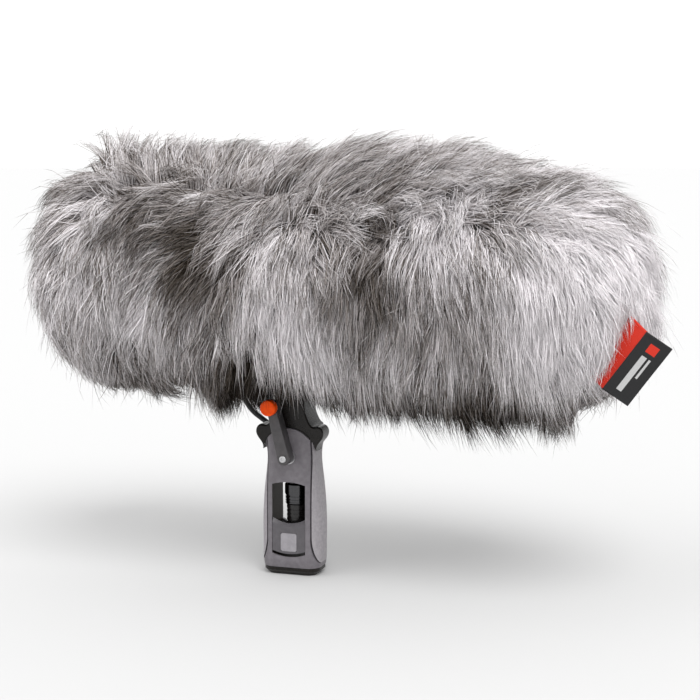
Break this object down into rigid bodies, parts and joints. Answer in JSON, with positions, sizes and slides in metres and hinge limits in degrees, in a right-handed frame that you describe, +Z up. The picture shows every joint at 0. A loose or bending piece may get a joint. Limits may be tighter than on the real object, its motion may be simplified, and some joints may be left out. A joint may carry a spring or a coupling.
{
  "type": "furry windscreen",
  "caption": "Long-pile fur windscreen over a mesh pod with sprung microphone mounts, on a pistol grip with a lever-clamped tilt joint, a microphone cable and its connector.",
  "frame": {"origin": "mouth of the boom thread, centred under the handle", "axes": "+Z up, +X along the windscreen towards its front, -Y the side that carries the tension lever"},
  "size_m": [0.4889, 0.1834, 0.3157],
  "materials": {
    "hard_shell": "fine-textured moulded dark grey",
    "grip_rubber": "soft matte grey overmould",
    "dark_plastic": "smooth satin near-black",
    "plate_plastic": "fine-textured moulded dark grey",
    "badge_plastic": "light grey inlay",
    "black_plastic": "black moulded",
    "black_metal": "black coated metal",
    "contact_metal": "plated contacts",
    "steel": "satin steel",
    "lever_metal": "dark grey cast metal",
    "knob_orange": "orange moulded knob",
    "rail_aluminium": "black anodised",
    "pod_mesh": "dark open mesh",
    "fur": "long-pile grey fake fur",
    "hook_and_loop": "black hook-and-loop tape",
    "label_red_cloth": "woven red tape",
    "label_black_cloth": "woven black tape",
    "cable_rubber": "black cable jacket",
    "lyre_plastic": "springy black thermoplastic"
  },
  "bodies": {
    "handle": {"handle_frame": "hard_shell", "grip_pad_front": "grip_rubber", "grip_pad_rear": "grip_rubber", "base_cap": "dark_plastic", "base_screws": "steel", "thread_insert": "steel", "plate_front": "plate_plastic", "plate_rear": "plate_plastic", "plate_badge": "badge_plastic", "plate_screws": "steel", "cable_gland": "cable_rubber", "plug_shell": "black_plastic", "plug_ring": "black_plastic", "plug_nose": "black_metal", "plug_pins": "contact_metal", "tilt_bolt": "steel", "tilt_nut": "steel", "clamp_washer": "dark_plastic", "cable_tail": "cable_rubber", "cable_loop": "cable_rubber"},
    "tension_lever": {"lever_arm": "lever_metal", "lever_screw": "steel", "lever_collar": "steel", "lever_knob": "knob_orange"},
    "windscreen": {"tilt_saddle": "dark_plastic", "neck_adapter": "dark_plastic", "neck_screws": "steel", "suspension_rail": "rail_aluminium", "rail_stops": "black_plastic", "pod_tube_rear": "pod_mesh", "pod_tube_middle": "pod_mesh", "pod_tube_front": "pod_mesh", "pod_cage": "black_plastic", "pod_dome_front": "pod_mesh", "pod_dome_rear": "pod_mesh", "dome_ring_front": "black_plastic", "dome_ring_rear": "black_plastic", "fur_sleeve_rear": "fur", "fur_sleeve_middle": "fur", "fur_sleeve_front": "fur", "fur_end_front": "fur", "fur_end_rear": "fur", "closure_strips": "hook_and_loop", "label_red": "label_red_cloth", "label_black": "label_black_cloth", "cable_inner": "cable_rubber", "inner_plug": "black_metal"},
    "rear_carriage": {"carriage_rear": "black_plastic", "carriage_screw_rear": "steel", "lyre_rear": "lyre_plastic", "mic_clip_rear": "lyre_plastic"},
    "front_carriage": {"carriage_front": "black_plastic", "carriage_screw_front": "steel", "lyre_front": "lyre_plastic", "mic_clip_front": "lyre_plastic"}
  },
  "joints": [
    {"name": "tilt", "type": "hinge", "parent": "handle", "child": "windscreen", "pos_m": [0, 0, 0.09], "axis": [0, 1, 0], "range_deg": [-25, 25], "deforming": ["cable_loop"]},
    {"name": "lever_swing", "type": "hinge", "parent": "handle", "child": "tension_lever", "pos_m": [0, 0, 0.09], "axis": [0, -1, 0], "range_deg": [-10, 55]},
    {"name": "rear_lyre_slide", "type": "slide", "parent": "windscreen", "child": "rear_carriage", "axis": [1, 0, 0], "range_m": [-0.022, 0.022]},
    {"name": "front_lyre_slide", "type": "slide", "parent": "windscreen", "child": "front_carriage", "axis": [1, 0, 0], "range_m": [-0.03, 0.03]}
  ]
}
